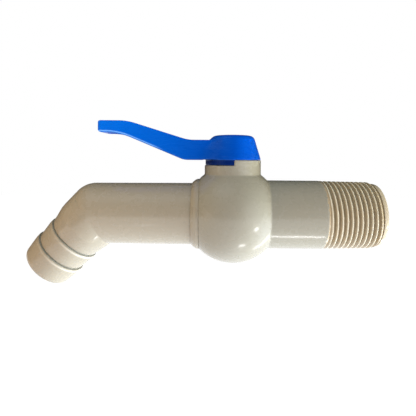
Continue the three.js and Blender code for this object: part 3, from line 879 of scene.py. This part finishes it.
def screw_formula(x, y, z):
    """Pan head with a cross recess, and a shank with a fine thread."""
    out = np.sqrt(x * x + y * y)
    turn = np.arctan2(y, x) / TURN
    wave = np.abs(((z / SCREW_PITCH - turn) % 1.0) - 0.5) * 2
    shank = (out - SCREW_CORE_R - SCREW_THREAD_DEPTH * wave) * 0.8
    shank = soft_max(shank, slab(z, SCREW_TIP, SCREW_SHANK_TOP), 0.3)
    dome_centre, dome_r = 24.6, 4.75
    dome = np.sqrt(out * out + (z - dome_centre) ** 2) - dome_r
    head = soft_max(soft_max(out - SCREW_HEAD_R, dome, 0.3), SCREW_HEAD_BOTTOM - z, 0.25)
    arm_half, arm_reach = 0.45, 1.9
    arms = [soft_max(np.abs(a) - arm_half, np.abs(b) - arm_reach, 0.3) for a, b in ((x, y), (y, x))]
    recess_floor = SCREW_HEAD_BOTTOM + 0.45 + 0.35 * out
    recess = soft_max(np.minimum(*arms), recess_floor - z, 0.3)
    return soft_max(np.minimum(shank, head), -recess, 0.2)


def make_screw():
    return net("screw", screw_formula, (-3.9, -3.9, 17.5), (3.9, 3.9, 30.0), cell=0.12)


def make_spring_washer():
    """One turn of flat wire, cut through and sprung a little open."""
    steps = 90
    gap = math.radians(10)
    rise = 0.12
    rows = []
    for k in range(steps + 1):
        t = k / steps
        angle = gap / 2 + (TURN - gap) * t
        low = SPLIT_BOTTOM + rise * t
        high = low + SPLIT_HEIGHT
        section = [(WASHER_IN, low), (SPLIT_OUT, low), (SPLIT_OUT, high), (WASHER_IN, high)]
        rows.append([(r * math.cos(angle), r * math.sin(angle), z) for r, z in section])
    points = np.array(rows).reshape(-1, 3)
    faces = ring_faces(len(rows), 4, False) + [(3, 2, 1, 0), tuple(steps * 4 + i for i in range(4))]
    return make_object("split_washer", points, facing_out(points, faces))


def make_cap():
    return turned("cap_disc", [
        (CAP_BOTTOM, 0),
        (CAP_BOTTOM, CAP_R),
        (CAP_TOP - 0.35, CAP_R),
        (CAP_TOP - 0.1, CAP_R - 0.35),
        (CAP_TOP - 0.02, CAP_R - 2.25),
        (CAP_TOP, 0),
    ], axis="z", radius=0.15)


# ------------ materials

class Look:
    """A Principled material with procedural colour, roughness and relief."""

    def __init__(self, name, **settings):
        self.material = bpy.data.materials.new(name)
        self.material.use_nodes = True
        self.nodes = self.material.node_tree.nodes
        self.links = self.material.node_tree.links
        self.shader = self.nodes["Principled BSDF"]
        self.set_inputs(self.shader, settings)
        self.place = self.nodes.new("ShaderNodeTexCoord").outputs["Object"]

    def set_inputs(self, node, settings):
        for socket, value in settings.items():
            node.inputs[socket.replace("_", " ")].default_value = value

    def node(self, kind, **settings):
        node = self.nodes.new("ShaderNode" + kind)
        self.set_inputs(node, settings)
        return node

    def noise(self, scale, detail=3.0, roughness=0.5, stretch=None):
        texture = self.node("TexNoise", Scale=scale, Detail=detail, Roughness=roughness)
        self.links.new(self.stretched(stretch), texture.inputs["Vector"])
        return texture.outputs["Fac"]

    def stretched(self, stretch):
        if stretch is None:
            return self.place
        mapping = self.node("Mapping", Scale=stretch)
        self.links.new(self.place, mapping.inputs["Vector"])
        return mapping.outputs["Vector"]

    def along_pipe(self):
        """How far along X a point lies, in metres."""
        split = self.node("SeparateXYZ")
        self.links.new(self.place, split.inputs["Vector"])
        return split.outputs["X"]

    def remap(self, value, low, high, out_low, out_high):
        node = self.node("MapRange", From_Min=low, From_Max=high, To_Min=out_low, To_Max=out_high)
        self.links.new(value, node.inputs["Value"])
        return node.outputs["Result"]

    def mix(self, factor, first, second):
        node = self.node("Mix")
        node.data_type = "RGBA"
        self.links.new(factor, node.inputs["Factor"])
        for name, value in (("A", first), ("B", second)):
            socket = [s for s in node.inputs if s.name == name and s.type == "RGBA"][0]
            if isinstance(value, tuple):
                socket.default_value = value
            else:
                self.links.new(value, socket)
        return [s for s in node.outputs if s.type == "RGBA"][0]

    def attribute(self, name):
        node = self.node("Attribute")
        node.attribute_name = name
        return node.outputs["Fac"]

    def colour(self, output):
        self.links.new(output, self.shader.inputs["Base Color"])

    def roughness(self, output):
        self.links.new(output, self.shader.inputs["Roughness"])

    def relief(self, height, distance, strength):
        """Adds bumps of a height in metres on top of earlier ones."""
        bump = self.node("Bump", Distance=distance, Strength=strength)
        self.links.new(height, bump.inputs["Height"])
        earlier = self.shader.inputs["Normal"].links
        if earlier:
            self.links.new(earlier[0].from_socket, bump.inputs["Normal"])
        self.links.new(bump.outputs["Normal"], self.shader.inputs["Normal"])


def srgb(red, green, blue):
    """A colour given as 0 to 255 display values."""
    def linear(value):
        value = value / 255
        return value / 12.92 if value <= 0.04045 else ((value + 0.055) / 1.055) ** 2.4
    return (linear(red), linear(green), linear(blue), 1.0)


PVC_GREY, PVC_WARM = srgb(141, 136, 121), srgb(140, 133, 115)
ABS_SHEEN = {"IOR": 1.5, "Specular_IOR_Level": 0.35, "Specular_Tint": (0.3, 0.6, 1.0, 1.0)}


def pvc(name, base, warm):
    """Glossy grey-beige PVC: faint cloudy tint, flow lines along the pipe, a slight orange peel."""
    look = Look(name, IOR=1.5, Coat_Weight=0.6, Coat_Roughness=0.1)
    cloud = look.remap(look.noise(60, 5, 0.65), 0.3, 0.7, 0, 0.25)
    flow = look.remap(look.noise(520, 3, 0.55, (0.06, 1, 1)), 0.3, 0.7, 0, 0.25)
    darker = tuple(c * 0.93 for c in base[:3]) + (1.0,)
    look.colour(look.mix(flow, look.mix(cloud, base, warm), darker))
    look.roughness(look.remap(look.noise(240, 4, 0.6), 0.3, 0.7, 0.22, 0.32))
    look.relief(look.noise(900, 2, 0.5), 0.00001, 0.3)
    look.relief(look.noise(130, 2, 0.5), 0.00004, 0.2)
    return look


def body_material():
    return pvc("body_pvc", PVC_GREY, PVC_WARM).material


def spout_material():
    """PVC a little browner than the body's, with painted shade in the barbs' grooves and painted
    highlights on their lower edges.
    """
    look = pvc("spout_pvc", srgb(147, 138, 120), srgb(146, 135, 114))
    pvc_colour = look.shader.inputs["Base Color"].links[0].from_socket
    painted_shade = look.remap(look.attribute("painted_shade"), 0.15, 1.0, 0, 0.85)
    painted_highlight = look.remap(look.attribute("painted_highlight"), 0.1, 1.0, 0, 0.8)
    # A pale painted highlight on the barbs' lower edges, then grey painted shade in their grooves.
    with_highlights = look.mix(painted_highlight, pvc_colour, srgb(214, 208, 192))
    look.colour(look.mix(painted_shade, with_highlights, srgb(98, 98, 88)))
    return look.material


def thread_material():
    """The same PVC where the thread is cut: browner in the groove, paler along the crest as a painted
    highlight, with painted shade on one flank and towards the top.
    """
    look = pvc("thread_pvc", PVC_GREY, PVC_WARM)
    grain = look.remap(look.noise(500, 3, 0.6), 0.3, 0.7, 0, 1)
    # The crest's pale colour is a painted highlight.
    crest = look.remap(look.attribute("off_crest"), *CREST_EDGE, 1, 0)
    groove = look.mix(grain, srgb(158, 139, 109), srgb(166, 147, 116))
    # Painted shade beside each crest, darker towards the top.
    painted_shade = look.remap(look.attribute("crest_shade"), 0.05, 0.85, 0, 1)
    look.colour(look.mix(crest, look.mix(painted_shade, groove, srgb(74, 66, 50)), srgb(200, 191, 167)))
    return look.material


def end_face_shaded_material():
    """The end face of the shank: duller and rougher than the moulded skin, and painted darker as painted
    shade against the strong light on the inlet's side.
    """
    look = Look("end_face_shaded_pvc", IOR=1.5)
    cloud = look.remap(look.noise(300, 4, 0.6), 0.3, 0.7, 0, 1)
    # Painted darker, as shade.
    look.colour(look.mix(cloud, srgb(122, 117, 103), srgb(116, 110, 95)))
    look.roughness(look.remap(look.noise(900, 3, 0.6), 0.3, 0.7, 0.45, 0.6))
    look.relief(look.noise(1500, 3, 0.6), 0.00002, 0.6)
    return look.material


def handle_material():
    """Blue ABS with a soft sheen, painted darker on the hub and paler towards the grip as painted light
    and shade, with a pale painted highlight along the grip's lower edge, finely scuffed.
    """
    look = Look("handle_abs", **ABS_SHEEN)
    cloud = look.remap(look.noise(60, 4, 0.6), 0.35, 0.7, 0, 0.5)
    # Painted light and shade: darker on the hub, paler towards the grip.
    hub_end = STEM_AXIS.x - 5 * MM
    grip_end = STEM_AXIS.x - 45 * MM
    grip_painted_light = look.remap(look.along_pipe(), hub_end, grip_end, 0, 1)
    plain = look.mix(grip_painted_light, srgb(0, 64, 160), srgb(0, 97, 206))
    clouded = look.mix(cloud, plain, srgb(0, 82, 186))
    # A pale painted highlight along the grip's lower edge.
    painted_highlight = look.remap(look.attribute("painted_highlight"), 0.1, 0.9, 0, 1)
    look.colour(look.mix(painted_highlight, clouded, srgb(112, 172, 244)))
    scuff = look.noise(700, 4, 0.7, (0.15, 1, 1))
    look.roughness(look.remap(scuff, 0.4, 0.75, 0.24, 0.38))
    look.relief(look.noise(1100, 2, 0.5), 0.00002, 0.4)
    look.relief(look.noise(150, 2, 0.5), 0.00005, 0.3)
    return look.material


def lug_material():
    """The same blue painted dark, as painted shade under the hub."""
    look = Look("lug_abs", **ABS_SHEEN)
    cloud = look.remap(look.noise(120, 4, 0.6), 0.35, 0.7, 0, 1)
    look.colour(look.mix(cloud, srgb(1, 28, 92), srgb(1, 22, 80)))
    look.roughness(look.remap(look.noise(700, 4, 0.7), 0.4, 0.75, 0.24, 0.38))
    look.relief(look.noise(300, 3, 0.5), 0.00002, 0.4)
    return look.material


def plain_polymer(name, base, other, roughness, grain):
    """A matt or satin plastic or rubber, in two close tints."""
    look = Look(name, IOR=1.5)
    cloud = look.remap(look.noise(120, 3, 0.6), 0.35, 0.7, 0, 1)
    look.colour(look.mix(cloud, base, other))
    look.roughness(look.remap(look.noise(300, 3, 0.6), 0.3, 0.7, roughness, roughness + 0.12))
    look.relief(look.noise(grain, 3, 0.6), 0.00002, 0.6)
    return look.material


def steel_material():
    """Stainless steel with turning marks round the screw's axis."""
    look = Look("screw_steel", Metallic=1.0)
    cloud = look.remap(look.noise(500, 3, 0.6), 0.3, 0.7, 0, 1)
    look.colour(look.mix(cloud, srgb(196, 197, 200), srgb(170, 171, 175)))
    look.roughness(look.remap(look.noise(1500, 3, 0.6, (1, 1, 0.1)), 0.3, 0.7, 0.2, 0.38))
    look.relief(look.noise(2500, 2, 0.5, (0.2, 0.2, 1)), 0.00001, 0.5)
    return look.material


# ------------ assembly

def finish_piece(piece, material, body, node):
    """Gives a piece its material, the CAD node it replaces and the body it rides on."""
    piece.data.materials.clear()
    piece.data.materials.append(material)
    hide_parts(node)
    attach(piece, body)


def build():
    pvc_body = body_material()
    white = plain_polymer("ball_polymer", srgb(226, 224, 214), srgb(216, 213, 200), 0.22, 900)
    stem_white = plain_polymer("stem_polymer", srgb(222, 219, 206), srgb(212, 208, 194), 0.3, 900)
    ptfe = plain_polymer("seat_ptfe", srgb(242, 242, 236), srgb(232, 231, 222), 0.4, 700)
    rubber = plain_polymer("seal_rubber", srgb(24, 24, 24), srgb(34, 33, 32), 0.55, 1500)
    steel = steel_material()
    blue = handle_material()

    body = make_body()
    finish_piece(body, pvc_body, "valve", "valve_body")
    paint_thread(body)
    finish_piece(make_spout(), spout_material(), "valve", "spout")
    for side, name in ((1, "inlet"), (-1, "outlet")):
        seat = make_seat(f"seat_{name}", side)
        finish_piece(seat, ptfe, "valve", f"seat_ring_{name}")
        along = side * (POCKET_X + RING_GROOVE_DEPTH / 2)
        ring = make_o_ring(f"seat_seal_{name}", SEAT_RING_R, SEAT_RING_SECTION, along, "x")
        finish_piece(ring, rubber, "valve", f"seat_o_ring_{name}")
    thrust = make_washer("thrust_washer", STEM_BORE_R, FLANGE_R, THRUST_BOTTOM, THRUST_TOP)
    finish_piece(thrust, ptfe, "valve", "stem_thrust_washer")

    finish_piece(make_ball(), white, "ball", "ball")

    handle = make_handle()
    finish_piece(handle, blue, "handle", "handle")
    paint_handle(handle)
    finish_piece(make_cap(), blue, "handle", "handle_cap")
    finish_piece(make_stem(), stem_white, "handle", "stem")
    for name, low in STEM_GROOVES.items():
        middle = low + STEM_GROOVE_HEIGHT / 2
        ring = make_o_ring(f"stem_seal_{name}", STEM_RING_R, STEM_RING_SECTION, middle, "z")
        finish_piece(ring, rubber, "handle", f"stem_o_ring_{name}")
    finish_piece(make_screw(), steel, "handle", "handle_screw")
    washer = make_washer("flat_washer", WASHER_IN, WASHER_OUT, WASHER_BOTTOM, WASHER_TOP)
    finish_piece(washer, steel, "handle", "screw_washer")
    finish_piece(make_spring_washer(), steel, "handle", "spring_washer")


# ------------ floor, light and camera
# Sizes and distances here are in metres.

FLOOR_HALF, FLOOR_DROP = 6.0, 0.7
PANEL_SIZE, PANEL_DISTANCE = 0.32, 0.5
WINDOW_DISTANCE = 0.42
ROOM_STRENGTH = 0.04
CAMERA_PLACE = Vector((-7.1, -132.0, 22.0)) * MM
CAMERA_ROLL = math.radians(0.5)


def make_floor():
    mesh = bpy.data.meshes.new("floor")
    mesh.from_pydata([(i * FLOOR_HALF, j * FLOOR_HALF, 0) for i, j in SQUARE], [], [(0, 1, 2, 3)])
    floor = bpy.data.objects.new("floor", mesh)
    floor.location = (STEM_AXIS.x, STEM_AXIS.y, STEM_AXIS.z - FLOOR_DROP)
    bpy.context.scene.collection.objects.link(floor)
    look = Look("floor", Roughness=0.9, Emission_Color=(1, 1, 1, 1), Emission_Strength=1.0)
    look.colour(look.mix(look.noise(3, 2), (0.86, 0.86, 0.86, 1), (0.88, 0.88, 0.88, 1)))
    floor.data.materials.append(look.material)


def panel(name, around, above, power, colour, size=PANEL_SIZE, distance=PANEL_DISTANCE):
    """A square panel that lights the pieces but does not mirror in them. Around is its bearing in
    degrees, 0 behind the camera and 90 on the inlet's side. Above is its angle over the pipe."""
    bearing, height = math.radians(around), math.radians(above)
    level = math.cos(height)
    away = (math.sin(bearing) * level, -math.cos(bearing) * level, math.sin(height))
    along = (math.cos(bearing), math.sin(bearing), 0)
    lamp = area_light(name, away, along, (size, size), distance, power, colour)
    lamp.visible_glossy = False


def window(name, direction, along, size, power):
    """A small light that mirrors as a bright spot in the glossy plastic."""
    area_light(name, direction, along, size, WINDOW_DISTANCE, power, (1, 1, 1))


def area_light(name, direction, along, size, distance, power, colour):
    """A rectangle that faces the ball from a direction, with its width lying along another."""
    light = bpy.data.lights.new(name, "AREA")
    light.shape = "RECTANGLE"
    light.size, light.size_y = size
    light.energy = power
    light.color = colour
    lamp = bpy.data.objects.new(name, light)
    away = Vector(direction).normalized()
    up = away.cross(Vector(along)).normalized()
    lamp.rotation_euler = Matrix((up.cross(away), up, away)).transposed().to_euler()
    lamp.location = STEM_AXIS + away * distance
    lamp.visible_camera = False
    bpy.context.scene.collection.objects.link(lamp)
    return lamp


def make_world():
    """White to the camera, and only a faint grey to the pieces."""
    world = bpy.data.worlds.new("studio")
    bpy.context.scene.world = world
    world.use_nodes = True
    nodes = world.node_tree.nodes
    links = world.node_tree.links
    room = nodes["Background"]
    room.inputs["Color"].default_value = (1, 1, 1, 1)
    room.inputs["Strength"].default_value = ROOM_STRENGTH
    backdrop = nodes.new("ShaderNodeBackground")
    backdrop.inputs["Color"].default_value = (1, 1, 1, 1)
    path = nodes.new("ShaderNodeLightPath")
    choose = nodes.new("ShaderNodeMixShader")
    links.new(path.outputs["Is Camera Ray"], choose.inputs["Fac"])
    links.new(room.outputs["Background"], choose.inputs[1])
    links.new(backdrop.outputs["Background"], choose.inputs[2])
    links.new(choose.outputs["Shader"], nodes["World Output"].inputs["Surface"])


def make_lights():
    """Soft panels, mostly on the inlet's side and below, and small windows for the bright spots."""
    panel("right_side", 90, 0, 2.5, (1.12, 1.1, 0.7))
    panel("right_low", 90, -28, 5.3, (0.83, 1.0, 1.25))
    panel("front_right", 45, 8, 1.8, (1.0, 0.97, 1.05))
    panel("front_left_top", 315, 60, 1.3, (0.87, 1.03, 1.12))
    panel("left_high", 270, 30, 0.75, (1.3, 1.0, 0.55))
    panel("spout_side", 301, 3, 0.03, (1.7, 0.85, 0.2), 0.06, 0.155)
    window("window_low", (0.28, -0.345, -0.895), (1, 0, 0), (0.082, 0.035), 0.12)
    window("window_right", (0.756, -0.5, -0.42), (0, 1, 0), (0.05, 0.06), 0.16)
    window("window_back", (0.68, 0.18, -0.71), (0.32, 0.23, 0.33), (0.22, 0.045), 0.17)
    window("window_front", (-0.28, -0.77, -0.57), (1, 0, 0), (0.03, 0.03), 0.008)
    window("window_left", (-0.87, -0.51, 0.04), (0, 0, 1), (0.03, 0.03), 0.01)


def make_camera():
    """At the height of the hub's foot, close in front, looking level along +Y."""
    data = bpy.data.cameras.new("camera")
    camera = bpy.data.objects.new("camera", data)
    camera.location = STEM_AXIS + CAMERA_PLACE
    camera.rotation_euler = (math.radians(90), 0, 0)
    camera.rotation_euler.rotate_axis("Z", CAMERA_ROLL)
    data.sensor_width = 36.0
    data.lens = 28.56
    data.shift_x = -0.0168
    data.shift_y = -0.1194
    data.clip_start = 0.005
    bpy.context.scene.collection.objects.link(camera)
    bpy.context.scene.camera = camera


bpy.context.scene.view_settings.view_transform = "Standard"
make_camera()
build()
make_floor()
make_world()
make_lights()
